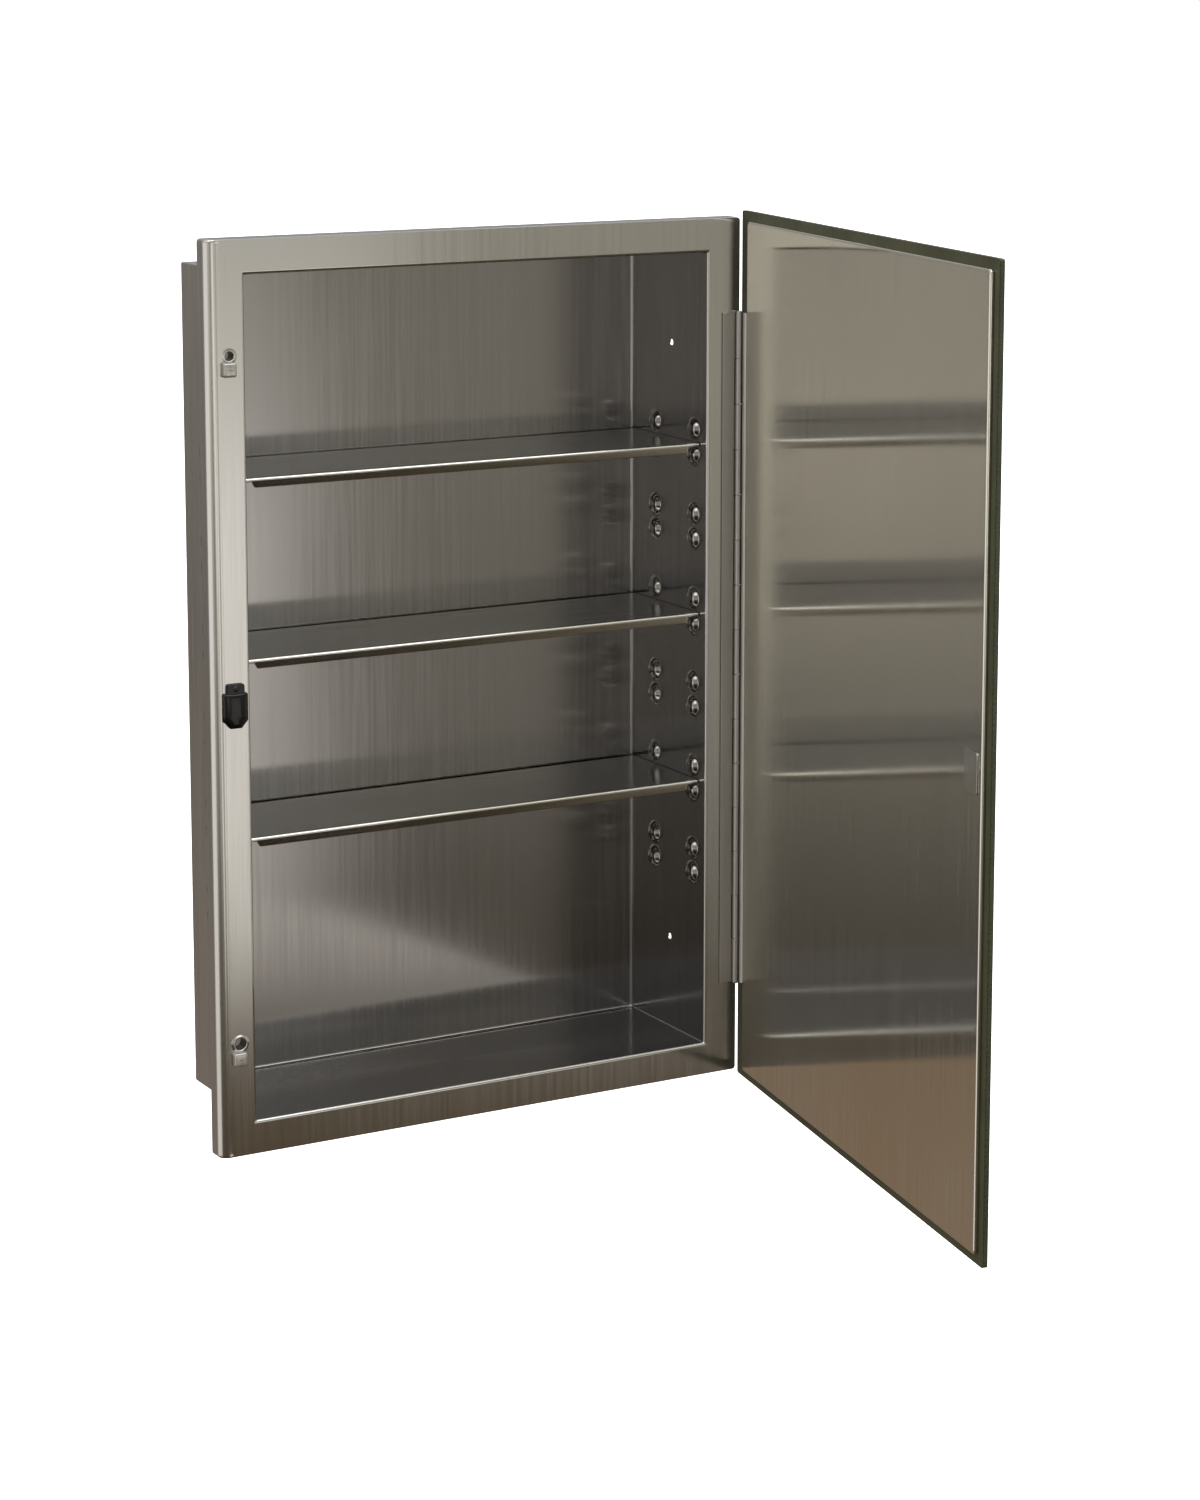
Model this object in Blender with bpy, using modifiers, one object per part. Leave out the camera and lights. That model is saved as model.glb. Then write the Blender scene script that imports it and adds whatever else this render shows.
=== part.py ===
"""Recessed medicine cabinet with a frameless mirror door, shown with the door open.

Frame: +Z up, +X to the right, +Y into the wall. The origin is the centre of the back face.
Door parts are drawn closed, relative to the hinge axis, and an empty on the axis swings them open.
"""

import math

import bmesh
import bpy
from mathutils import Matrix, Vector

MM = 0.001

# Cabinet body, a folded sheet box with a face flange and a rolled return
SHEET = 0.8 * MM
FLANGE_WIDTH = 394.0 * MM
FLANGE_HEIGHT = 601.4 * MM
BAR_SIDE = 26.0 * MM
BAR_END = 23.2 * MM
INSIDE_DEPTH = 101.4 * MM
RETURN_DEPTH = 14.7 * MM
ROLL_RADIUS = 6.0 * MM
LIP_RADIUS = 1.6 * MM
REAR_RADIUS = 4.0 * MM
INNER_HALF_W = FLANGE_WIDTH / 2 - BAR_SIDE
INNER_HALF_H = FLANGE_HEIGHT / 2 - BAR_END
FACE_Y = -(INSIDE_DEPTH + SHEET)

# Wall screw holes, and on the latch side of the flange two pierced holes with a door bumper below each
SCREW_HOLE_RADIUS = 2.5 * MM
SCREW_HOLE_DEPTH = 48.0 * MM
SCREW_HOLE_HEIGHT = 211.9 * MM
PIERCED_X = -FLANGE_WIDTH / 2 + 15.0 * MM
PIERCED_HOLES = ((226.4 * MM, 3.4 * MM), (-224.0 * MM, 4.4 * MM))
BUMPER_X = -FLANGE_WIDTH / 2 + 14.0 * MM
BUMPER_HEIGHTS = (217.9 * MM, -233.8 * MM)
BUMPER_SIZE = 9.4 * MM
BUMPER_RISE = 4.6 * MM
BUMPER_TAPER = 1.2 * MM
BUMPER_DRAFT = 0.2 * MM

# Shelves and the pairs of embossed domes that carry them
SHELF_PITCH = 59.1 * MM
SHELF_SLOTS = 6
SHELF_MID_Z = 27.95 * MM
SHELF_FRONT = 9.0 * MM
SHELF_REAR = 98.0 * MM
SHELF_SHEET = 1.0 * MM
SHELF_SIDE_GAP = 0.7 * MM
SHELF_LIP = 7.0 * MM
SHELF_HEM = 2.0 * MM
SHELF_REAR_LIP = 5.0 * MM
LIP_NOTCH = 10.0 * MM
LIP_NOTCH_RISE = 2.4 * MM
SHELF_BEND = 1.6 * MM
HEM_ROUND = 0.8 * MM
DOME_RADIUS = 7.2 * MM
DOME_RISE = 4.5 * MM
DOME_SLOT = 3.0 * MM
DOME_COLUMNS = (16.5 * MM, 68.5 * MM)

# Continuous hinge on the right-hand bar
HINGE_LENGTH = 471.4 * MM
KNUCKLES = 15
KNUCKLE_GAP = 0.4 * MM
BARREL_RADIUS = 2.4 * MM
BORE_RADIUS = 1.25 * MM
PIN_RADIUS = 1.0 * MM
PIN_HEAD_RADIUS = 1.9 * MM
LEAF_SHEET = 1.0 * MM
LEAF_WIDTH = 11.9 * MM
BARREL_STEPS = 14
BORE_SIDES = 16
AXIS_OFF_FACE = 2.7 * MM
AXIS_X = FLANGE_WIDTH / 2 - 2.3 * MM
AXIS_Y = FACE_Y - AXIS_OFF_FACE
OPEN_ANGLE = math.radians(79.7)

# Door: along s from the axis to the free edge, outward m from the axis, both with the door closed
MIRROR_WIDTH = 406.4 * MM
MIRROR_HEIGHT = 609.6 * MM
MIRROR_S0 = -8.5 * MM
BACKING_M = 5.1 * MM
BACKING_SHEET = 0.4 * MM
GLASS_M = 5.6 * MM
GLASS_THICKNESS = 3.2 * MM
PAN_S0 = 7.4 * MM
PAN_MARGIN = 6.5 * MM
PAN_S1 = MIRROR_S0 + MIRROR_WIDTH - PAN_MARGIN
PAN_HEIGHT = MIRROR_HEIGHT - 2 * PAN_MARGIN
PAN_M0 = 2.3 * MM
PAN_M1 = 4.9 * MM
LEAF_M0 = 3.3 * MM
LEAF_REACH = 26.0 * MM
STEP_S = (3.6 * MM, 5.4 * MM)
STEP_SKEW = 0.4 * MM
LEAF_WAY_GAP = 1.5 * MM
TAPE_WIDTH = 12.0 * MM
TAPE_M0 = 3.3 * MM
TAPE_M1 = 4.9 * MM
TAPE_INSET = 3.0 * MM

# Magnetic catch at mid height on the latch side, and the plate it holds
CATCH_X = -FLANGE_WIDTH / 2 + 15.1 * MM
CATCH_Z = -2.2 * MM
CATCH_WIDTH = 16.8 * MM
CATCH_HEIGHT = 23.0 * MM
CATCH_RISE = 4.0 * MM
CATCH_CHAMFER = 5.0 * MM
CATCH_CORNER = 1.0 * MM
TAB_WIDTH = 12.6 * MM
TAB_HEIGHT = 6.5 * MM
TAB_RISE = 2.0 * MM
PLUG_WIDTH = 12.0 * MM
PLUG_HEIGHT = 18.0 * MM
PLUG_DEPTH = 9.0 * MM
PLUG_WALL = 1.2 * MM
MAGNET_WIDTH = 5.0 * MM
POLE_SHEET = 1.5 * MM
RIVET_RADIUS = 1.2 * MM
RIVET_HEAD_RADIUS = 2.2 * MM
RIVET_CROWN = 1.0 * MM
RIVET_CURL = 0.8 * MM
POCKET_FLOOR = 2.5 * MM
MAGNET_SETBACK = 1.0 * MM
STRIKE_S = (368.0 * MM, 386.0 * MM)
STRIKE_HALF_HEIGHT = 13.0 * MM
STRIKE_M = (1.6 * MM, 2.1 * MM)

FIT_GAP = 0.2 * MM

STEEL = (0.42, 0.41, 0.39, 1.0)
BRIGHT = (0.62, 0.61, 0.58, 1.0)
BLACK = (0.02, 0.02, 0.022, 1.0)


def clear_scene():
    for obj in list(bpy.data.objects):
        bpy.data.objects.remove(obj, do_unlink=True)


def new_collection(name):
    collection = bpy.data.collections.new(name)
    bpy.context.scene.collection.children.link(collection)
    return collection


def material(name, colour, metallic=0.0, roughness=0.4):
    mat = bpy.data.materials.new(name)
    mat.use_nodes = True
    shader = mat.node_tree.nodes["Principled BSDF"]
    shader.inputs["Base Color"].default_value = colour
    shader.inputs["Metallic"].default_value = metallic
    shader.inputs["Roughness"].default_value = roughness
    mat.diffuse_color = colour
    return mat


def put(name, bm, collection, mat=None, parent=None):
    """Link a finished bmesh into the scene as one object."""
    bmesh.ops.recalc_face_normals(bm, faces=bm.faces)
    mesh = bpy.data.meshes.new(name)
    bm.to_mesh(mesh)
    bm.free()
    obj = bpy.data.objects.new(name, mesh)
    collection.objects.link(obj)
    if mat:
        mesh.materials.append(mat)
    if parent:
        obj.parent = parent
    return obj


def as_cutter(obj):
    obj.hide_render = True
    obj.display_type = "WIRE"
    return obj


def boolean(target, tool, operation):
    step = target.modifiers.new(tool.name, "BOOLEAN")
    step.operation = operation
    step.object = tool
    step.solver = "EXACT"


def add_box(bm, low, high):
    size = Vector(high) - Vector(low)
    middle = (Vector(high) + Vector(low)) / 2
    where = Matrix.Translation(middle) @ Matrix.Diagonal((*size, 1.0))
    bmesh.ops.create_cube(bm, size=1.0, matrix=where)


def add_cylinder(bm, radius, length, where, segments=16):
    """A closed cylinder centred on where, along the local Z of that matrix."""
    bmesh.ops.create_cone(
        bm, cap_ends=True, segments=segments, radius1=radius, radius2=radius, depth=length, matrix=where
    )


def add_prism(bm, outline, axis_from, axis_to, place):
    """Extrude a closed outline; place(a, b, t) turns outline point and depth into a position."""
    near = [bm.verts.new(place(a, b, axis_from)) for a, b in outline]
    far = [bm.verts.new(place(a, b, axis_to)) for a, b in outline]
    bm.faces.new(near)
    bm.faces.new(list(reversed(far)))
    count = len(outline)
    for i in range(count):
        j = (i + 1) % count
        bm.faces.new((near[i], far[i], far[j], near[j]))


def add_lathe(bm, profile, where, segments=16):
    """Turn (radius, height) points round local Z; the first and last points lie on the axis."""
    rings = []
    for radius, height in profile[1:-1]:
        ring = []
        for k in range(segments):
            angle = 2 * math.pi * k / segments
            point = Vector((radius * math.cos(angle), radius * math.sin(angle), height))
            ring.append(bm.verts.new(where @ point))
        rings.append(ring)
    first = bm.verts.new(where @ Vector((0, 0, profile[0][1])))
    last = bm.verts.new(where @ Vector((0, 0, profile[-1][1])))
    for k in range(segments):
        n = (k + 1) % segments
        bm.faces.new((first, rings[0][k], rings[0][n]))
        bm.faces.new((last, rings[-1][n], rings[-1][k]))
        for low, high in zip(rings, rings[1:]):
            bm.faces.new((low[k], high[k], high[n], low[n]))


def arc(centre, radius, start, end, steps):
    """Points on an arc, angles in degrees."""
    points = []
    for i in range(steps + 1):
        angle = math.radians(start + (end - start) * i / steps)
        points.append((centre[0] + radius * math.cos(angle), centre[1] + radius * math.sin(angle)))
    return points


def body_profile():
    """Section of the sheet as (outset from the inner wall, share of the bar, depth behind the face)."""
    points = []

    def wall(section):
        points.extend((out, 0.0, depth) for out, depth in section)

    def rim(section):
        points.extend((out, 1.0, depth) for out, depth in section)

    rear = (-REAR_RADIUS, INSIDE_DEPTH - REAR_RADIUS)
    lip = (LIP_RADIUS, LIP_RADIUS)
    roll = (-ROLL_RADIUS, ROLL_RADIUS)
    wall(arc(rear, REAR_RADIUS, 90, 0, 4))
    wall(arc(lip, LIP_RADIUS, 180, 270, 3))
    rim(arc(roll, ROLL_RADIUS, 270, 360, 6))
    rim([(0.0, RETURN_DEPTH), (-SHEET, RETURN_DEPTH)])
    rim(arc(roll, ROLL_RADIUS - SHEET, 360, 270, 6))
    wall(arc(lip, LIP_RADIUS - SHEET, 270, 180, 3))
    wall(arc(rear, REAR_RADIUS + SHEET, 0, 90, 4))
    return points


def body_shell(collection, mat):
    """The folded box: rectangular rings along the profile, closed by the back wall."""
    bm = bmesh.new()
    rings = []
    for out, share, depth in body_profile():
        half_w = INNER_HALF_W + out + share * BAR_SIDE
        half_h = INNER_HALF_H + out + share * BAR_END
        y = FACE_Y + depth
        corners = ((-half_w, -half_h), (half_w, -half_h), (half_w, half_h), (-half_w, half_h))
        rings.append([bm.verts.new((x, y, z)) for x, z in corners])
    for near, far in zip(rings, rings[1:]):
        for i in range(4):
            j = (i + 1) % 4
            bm.faces.new((near[i], near[j], far[j], far[i]))
    bm.faces.new(rings[0])
    bm.faces.new(rings[-1])
    return put("cabinet_body", bm, collection, mat)


def slot_heights():
    """Height of the top of a shelf in each of the dome slots, bottom to top."""
    middle = (SHELF_SLOTS - 2) / 2 + 1
    return [SHELF_MID_Z + SHELF_PITCH * (i - middle) for i in range(SHELF_SLOTS)]


def dome_profile():
    """Half section of one embossed dome, from inside the wall sheet to its crown."""
    sphere = (DOME_RADIUS**2 + DOME_RISE**2) / (2 * DOME_RISE)
    edge = math.degrees(math.asin((sphere - DOME_RISE) / sphere))
    cap = arc((0.0, DOME_RISE - sphere), sphere, edge, 90, 3)
    return [(0.0, -SHEET / 2), (DOME_RADIUS, -SHEET / 2)] + cap


def shelf_domes(collection):
    """All shelf supports: an upper and a lower dome at every slot, two columns on each side wall."""
    bm = bmesh.new()
    profile = dome_profile()
    for side in (-1, 1):
        turn = Matrix.Rotation(math.radians(-90 * side), 4, "Y")
        for column in DOME_COLUMNS:
            for top in slot_heights():
                slot = top - SHELF_SHEET - FIT_GAP + DOME_SLOT / 2
                for rise in (-1, 1):
                    z = slot + rise * (DOME_SLOT / 2 + DOME_RADIUS)
                    spot = Matrix.Translation((side * INNER_HALF_W, FACE_Y + column, z))
                    add_lathe(bm, profile, spot @ turn, segments=12)
    return as_cutter(put("shelf_domes", bm, collection))


def body_holes(collection):
    """Wall screw holes, the catch slot, the catch rivet hole and the pierced flange holes."""
    bm = bmesh.new()
    across = Matrix.Rotation(math.radians(90), 4, "Y")
    along = Matrix.Rotation(math.radians(90), 4, "X")
    for side in (-1, 1):
        for height in (-SCREW_HOLE_HEIGHT, SCREW_HOLE_HEIGHT):
            spot = Matrix.Translation((side * INNER_HALF_W, FACE_Y + SCREW_HOLE_DEPTH, height))
            add_cylinder(bm, SCREW_HOLE_RADIUS, 6 * MM, spot @ across)
    half_w = PLUG_WIDTH / 2 + FIT_GAP
    half_h = PLUG_HEIGHT / 2 + FIT_GAP
    add_box(
        bm,
        (CATCH_X - half_w, FACE_Y - 1 * MM, CATCH_Z - half_h),
        (CATCH_X + half_w, FACE_Y + 2 * MM, CATCH_Z + half_h),
    )
    spot = Matrix.Translation((CATCH_X, FACE_Y, rivet_height()))
    add_cylinder(bm, RIVET_RADIUS + FIT_GAP, 4 * MM, spot @ along)
    for height, radius in PIERCED_HOLES:
        spot = Matrix.Translation((PIERCED_X, FACE_Y, height))
        add_cylinder(bm, radius, 4 * MM, spot @ along)
    return as_cutter(put("body_holes", bm, collection))


def cabinet_body(parts, cutters):
    body = body_shell(parts, material("cabinet_body", STEEL, 1.0, 0.3))
    boolean(body, shelf_domes(cutters), "UNION")
    boolean(body, body_holes(cutters), "DIFFERENCE")


def bumpers(parts):
    """Tapered square pads on the flange that the closed door lies against."""
    clear = material("bumper", (0.55, 0.56, 0.52, 1.0), 0.0, 0.25)
    half = BUMPER_SIZE / 2
    for name, height in zip(("bumper_upper", "bumper_lower"), BUMPER_HEIGHTS):
        bm = bmesh.new()
        rings = []
        shoulder = BUMPER_RISE - BUMPER_TAPER
        for inset, rise in ((0.0, FIT_GAP), (BUMPER_DRAFT, shoulder), (BUMPER_TAPER, BUMPER_RISE)):
            reach = half - inset
            corners = ((-reach, -reach), (reach, -reach), (reach, reach), (-reach, reach))
            rings.append([bm.verts.new((BUMPER_X + x, FACE_Y - rise, height + z)) for x, z in corners])
        for near, far in zip(rings, rings[1:]):
            for i in range(4):
                j = (i + 1) % 4
                bm.faces.new((near[i], near[j], far[j], far[i]))
        bm.faces.new(rings[0])
        bm.faces.new(rings[-1])
        put(name, bm, parts, clear)


def shelf_section():
    """Shelf section as (depth behind the face, height): hemmed front lip, plate and rear lip."""
    front = SHELF_FRONT
    rear = SHELF_REAR
    sheet = SHELF_SHEET
    points = arc((front + SHELF_BEND, -SHELF_BEND), SHELF_BEND, 180, 90, 3)
    points += [(rear, 0.0), (rear, -SHELF_REAR_LIP)]
    points += [(rear - sheet, -SHELF_REAR_LIP), (rear - sheet, -sheet)]
    points += [(front + SHELF_HEM, -sheet), (front + SHELF_HEM, -SHELF_LIP + HEM_ROUND)]
    points += [(front + SHELF_HEM / 2, -SHELF_LIP), (front, -SHELF_LIP + HEM_ROUND)]
    return points


def shelf(name, top, parts, cutters, mat):
    half = INNER_HALF_W - SHELF_SIDE_GAP
    bm = bmesh.new()
    add_prism(bm, shelf_section(), -half, half, lambda y, z, x: (x, FACE_Y + y, top + z))
    body = put(name, bm, parts, mat)
    bm = bmesh.new()
    for side in (-1, 1):
        ends = sorted((side * (half - LIP_NOTCH), side * (half + 2 * MM)))
        add_box(
            bm,
            (ends[0], FACE_Y + SHELF_FRONT - 2 * MM, top - SHELF_LIP - 2 * MM),
            (ends[1], FACE_Y + SHELF_REAR + 2 * MM, top - LIP_NOTCH_RISE),
        )
    boolean(body, as_cutter(put(name + "_notches", bm, cutters)), "DIFFERENCE")


def shelves(parts, cutters):
    mat = material("shelf", BRIGHT, 1.0, 0.25)
    heights = slot_heights()
    for name, slot in (("shelf_lower", 1), ("shelf_middle", 3), ("shelf_upper", 5)):
        shelf(name, heights[slot], parts, cutters, mat)


def knuckle_spans():
    """Height range of each hinge knuckle, bottom to top."""
    pitch = HINGE_LENGTH / KNUCKLES
    bottom = -HINGE_LENGTH / 2
    return [(bottom + i * pitch, bottom + (i + 1) * pitch) for i in range(KNUCKLES)]


def leaf_blank(name, outline, place, collection, mat, parent):
    """A full-length leaf whose section wraps round the bore, as one closed body."""
    curve = bpy.data.curves.new(name, "CURVE")
    curve.dimensions = "2D"
    curve.fill_mode = "BOTH"
    curve.extrude = HINGE_LENGTH / 2
    bore = arc((0.0, 0.0), BORE_RADIUS, 0, 360 - 360 / BORE_SIDES, BORE_SIDES - 1)
    for loop in (outline, bore):
        spline = curve.splines.new("POLY")
        spline.points.add(len(loop) - 1)
        for point, (s, m) in zip(spline.points, loop):
            point.co = (*place(s, m), 0.0, 1.0)
        spline.use_cyclic_u = True
    guide = bpy.data.objects.new(name + "_section", curve)
    mesh = bpy.data.meshes.new_from_object(guide)
    bpy.data.objects.remove(guide)
    bm = bmesh.new()
    bm.from_mesh(mesh)
    bmesh.ops.remove_doubles(bm, verts=bm.verts, dist=0.00001)
    return put(name, bm, collection, mat, parent)


def knuckle_cutter(name, own, collection, parent):
    """Boxes that clear a leaf's barrel wherever the other leaf has its knuckles."""
    bm = bmesh.new()
    reach = BARREL_RADIUS + 0.5 * MM
    for i, (low, high) in enumerate(knuckle_spans()):
        if i % 2 == own:
            continue
        start = low - KNUCKLE_GAP / 2 if i > 0 else low - 1 * MM
        end = high + KNUCKLE_GAP / 2 if i < KNUCKLES - 1 else high + 1 * MM
        add_box(bm, (-reach, -reach, start), (reach, reach, end))
    return as_cutter(put(name, bm, collection, parent=parent))


def frame_leaf_outline():
    """Hinge leaf lying on the flange, in (s, m) with the axis at the origin."""
    r = BARREL_RADIUS
    inner = -r + LEAF_SHEET
    start = math.degrees(math.asin(inner / r))
    barrel = arc((0.0, 0.0), r, start, 270, BARREL_STEPS)
    return barrel + [(LEAF_WIDTH, -r), (LEAF_WIDTH, inner)]


def door_leaf_outline():
    """Hinge leaf that steps outward behind the door pan."""
    r = BARREL_RADIUS
    inner = r - LEAF_SHEET
    start = math.degrees(math.asin(inner / r))
    barrel = arc((0.0, 0.0), r, start, -270, BARREL_STEPS)
    outer = LEAF_M0 + LEAF_SHEET - FIT_GAP
    step_out = [(STEP_S[0], r), (STEP_S[1], outer), (LEAF_REACH, outer)]
    step_back = [(LEAF_REACH, LEAF_M0), (STEP_S[1] + STEP_SKEW, LEAF_M0), (STEP_S[0] + STEP_SKEW, inner)]
    return barrel + step_out + step_back


def hinge(parts, cutters, fixed, door):
    mat = material("hinge_leaf", BRIGHT, 1.0, 0.3)

    def closed(s, m):
        return (-s, -m)

    frame = leaf_blank("hinge_frame_leaf", frame_leaf_outline(), closed, parts, mat, fixed)
    boolean(frame, knuckle_cutter("frame_knuckle_gaps", 0, cutters, fixed), "DIFFERENCE")
    swing = leaf_blank("hinge_door_leaf", door_leaf_outline(), closed, parts, mat, door)
    boolean(swing, knuckle_cutter("door_knuckle_gaps", 1, cutters, door), "DIFFERENCE")
    half = HINGE_LENGTH / 2 + FIT_GAP
    head = half + 1 * MM
    profile = [(0.0, -head), (PIN_HEAD_RADIUS, -head), (PIN_HEAD_RADIUS, -half), (PIN_RADIUS, -half)]
    profile += [(PIN_RADIUS, half), (PIN_HEAD_RADIUS, half), (PIN_HEAD_RADIUS, head), (0.0, head)]
    bm = bmesh.new()
    add_lathe(bm, profile, Matrix.Identity(4), segments=16)
    put("hinge_pin", bm, parts, material("hinge_pin", BRIGHT, 1.0, 0.25), fixed)


def door_box(name, s, m, z, collection, mat, parent):
    """A rectangular door piece given by its ranges in s, m and height."""
    bm = bmesh.new()
    add_box(bm, (-s[1], -m[1], z[0]), (-s[0], -m[0], z[1]))
    return put(name, bm, collection, mat, parent)


def soften(obj, width, segments=2):
    step = obj.modifiers.new("soften", "BEVEL")
    step.width = width
    step.segments = segments
    step.limit_method = "ANGLE"


def mirror(parts, door):
    s = (MIRROR_S0, MIRROR_S0 + MIRROR_WIDTH)
    z = (-MIRROR_HEIGHT / 2, MIRROR_HEIGHT / 2)
    glass_m = (GLASS_M, GLASS_M + GLASS_THICKNESS)
    silver = material("mirror_glass", (0.8, 0.84, 0.82, 1), 1.0, 0.03)
    glass = door_box("mirror_glass", s, glass_m, z, parts, silver, door)
    soften(glass, 0.5 * MM, 1)
    film_m = (BACKING_M, BACKING_M + BACKING_SHEET)
    film = material("mirror_backing", (0.10, 0.12, 0.07, 1), 0.0, 0.5)
    door_box("mirror_backing", s, film_m, z, parts, film, door)


def door_pan(parts, cutters, door):
    half = PAN_HEIGHT / 2
    steel = material("door_pan", STEEL, 1.0, 0.3)
    pan = door_box("door_pan", (PAN_S0, PAN_S1), (PAN_M0, PAN_M1), (-half, half), parts, steel, door)
    inner = half - SHEET
    hollow_s = (PAN_S0 + SHEET, PAN_S1 - SHEET)
    hollow_m = (PAN_M0 + SHEET, PAN_M1 + 1 * MM)
    hollow = door_box("pan_hollow", hollow_s, hollow_m, (-inner, inner), cutters, None, door)
    boolean(pan, as_cutter(hollow), "DIFFERENCE")
    reach = HINGE_LENGTH / 2 + LEAF_WAY_GAP
    way_s = (PAN_S0 - 1 * MM, PAN_S0 + 2 * MM)
    way = door_box("leaf_way", way_s, hollow_m, (-reach, reach), cutters, None, door)
    boolean(pan, as_cutter(way), "DIFFERENCE")


def mirror_tapes(parts, door):
    """Foam tape between the pan and the mirror back, inside the pan's edges."""
    foam = material("mirror_tape", (0.75, 0.74, 0.70, 1), 0.0, 0.9)
    edge = PAN_HEIGHT / 2 - SHEET - TAPE_INSET
    left = LEAF_REACH + TAPE_INSET
    right = PAN_S1 - SHEET - TAPE_INSET
    m = (TAPE_M0, TAPE_M1)
    side = edge - TAPE_WIDTH - TAPE_INSET
    door_box("mirror_tape_top", (left, right), m, (edge - TAPE_WIDTH, edge), parts, foam, door)
    door_box("mirror_tape_bottom", (left, right), m, (-edge, TAPE_WIDTH - edge), parts, foam, door)
    door_box("mirror_tape_hinge_side", (left, left + TAPE_WIDTH), m, (-side, side), parts, foam, door)
    door_box("mirror_tape_free_side", (right - TAPE_WIDTH, right), m, (-side, side), parts, foam, door)


def strike_plate(parts, door):
    z = (CATCH_Z - STRIKE_HALF_HEIGHT, CATCH_Z + STRIKE_HALF_HEIGHT)
    nickel = material("strike_plate", (0.55, 0.54, 0.50, 1), 1.0, 0.3)
    plate = door_box("strike_plate", STRIKE_S, STRIKE_M, z, parts, nickel, door)
    soften(plate, 0.15 * MM, 1)


def rivet_height():
    return CATCH_Z + CATCH_HEIGHT / 2 + TAB_HEIGHT / 2 - 0.2 * MM


def catch_outline():
    """Front outline of the catch body: square top corners and cut-off bottom corners."""
    w = CATCH_WIDTH / 2
    h = CATCH_HEIGHT / 2
    c = CATCH_CHAMFER
    top = CATCH_CORNER
    lower = [(-w, c - h), (c - w, -h), (w - c, -h), (w, c - h)]
    return lower + [(w, h - top), (w - top, h), (top - w, h), (-w, h - top)]


def catch_housing(parts, cutters):
    black = material("catch_housing", BLACK, 0.0, 0.35)
    bm = bmesh.new()
    add_prism(
        bm,
        catch_outline(),
        FIT_GAP,
        CATCH_RISE,
        lambda x, z, rise: (CATCH_X + x, FACE_Y - rise, CATCH_Z + z),
    )
    housing = put("catch_housing", bm, parts, black)
    bm = bmesh.new()
    half_w = PLUG_WIDTH / 2
    half_h = PLUG_HEIGHT / 2
    add_box(
        bm,
        (CATCH_X - half_w, FACE_Y - 2 * MM, CATCH_Z - half_h),
        (CATCH_X + half_w, FACE_Y + PLUG_DEPTH, CATCH_Z + half_h),
    )
    boolean(housing, as_cutter(put("catch_plug", bm, cutters)), "UNION")
    bm = bmesh.new()
    low = CATCH_Z + CATCH_HEIGHT / 2 - 1.5 * MM
    high = CATCH_Z + CATCH_HEIGHT / 2 + TAB_HEIGHT
    add_box(
        bm,
        (CATCH_X - TAB_WIDTH / 2, FACE_Y - TAB_RISE, low),
        (CATCH_X + TAB_WIDTH / 2, FACE_Y - FIT_GAP, high),
    )
    boolean(housing, as_cutter(put("catch_tab", bm, cutters)), "UNION")
    bm = bmesh.new()
    half_w -= PLUG_WALL
    half_h -= PLUG_WALL
    add_box(
        bm,
        (CATCH_X - half_w, FACE_Y - POCKET_FLOOR, CATCH_Z - half_h),
        (CATCH_X + half_w, FACE_Y + PLUG_DEPTH + 1 * MM, CATCH_Z + half_h),
    )
    along = Matrix.Rotation(math.radians(90), 4, "X")
    spot = Matrix.Translation((CATCH_X, FACE_Y, rivet_height()))
    add_cylinder(bm, RIVET_RADIUS + FIT_GAP, 6 * MM, spot @ along)
    boolean(housing, as_cutter(put("catch_pocket", bm, cutters)), "DIFFERENCE")


def catch_magnet(parts):
    """Ferrite block between two steel pole plates, all inside the housing."""
    front = FACE_Y - POCKET_FLOOR + FIT_GAP
    rear = FACE_Y + PLUG_DEPTH - MAGNET_SETBACK
    half_h = PLUG_HEIGHT / 2 - PLUG_WALL - FIT_GAP
    half_m = MAGNET_WIDTH / 2
    bm = bmesh.new()
    add_box(bm, (CATCH_X - half_m, front, CATCH_Z - half_h), (CATCH_X + half_m, rear, CATCH_Z + half_h))
    put("catch_magnet", bm, parts, material("catch_magnet", (0.06, 0.06, 0.065, 1), 0.3, 0.6))
    steel = material("catch_pole", (0.5, 0.5, 0.5, 1), 1.0, 0.4)
    for name, side in (("catch_pole_left", -1), ("catch_pole_right", 1)):
        near = CATCH_X + side * (half_m + FIT_GAP)
        ends = sorted((near, near + side * POLE_SHEET))
        bm = bmesh.new()
        add_box(bm, (ends[0], front, CATCH_Z - half_h), (ends[1], rear, CATCH_Z + half_h))
        put(name, bm, parts, steel)


def catch_rivet(parts):
    """Tubular rivet through the catch tab and the flange, headed on both sides."""
    front = TAB_RISE + FIT_GAP
    rear = SHEET + FIT_GAP
    crown = front + RIVET_CROWN
    curl = -rear - RIVET_CURL
    profile = [(0.0, crown), (RIVET_HEAD_RADIUS * 0.64, crown - 0.1 * MM)]
    profile += [(RIVET_HEAD_RADIUS, front + 0.3 * MM), (RIVET_HEAD_RADIUS, front)]
    profile += [(RIVET_RADIUS, front), (RIVET_RADIUS, -rear)]
    profile += [(RIVET_HEAD_RADIUS, -rear), (RIVET_HEAD_RADIUS, curl), (0.0, curl)]
    spot = Matrix.Translation((CATCH_X, FACE_Y, rivet_height()))
    turn = Matrix.Rotation(math.radians(90), 4, "X")
    bm = bmesh.new()
    add_lathe(bm, profile, spot @ turn, segments=16)
    put("catch_rivet", bm, parts, material("catch_rivet", BLACK, 0.6, 0.4))


def shade_parts(parts):
    for obj in parts.objects:
        obj.data.shade_smooth()
        obj.data.set_sharp_from_angle(angle=math.radians(35))


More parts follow.
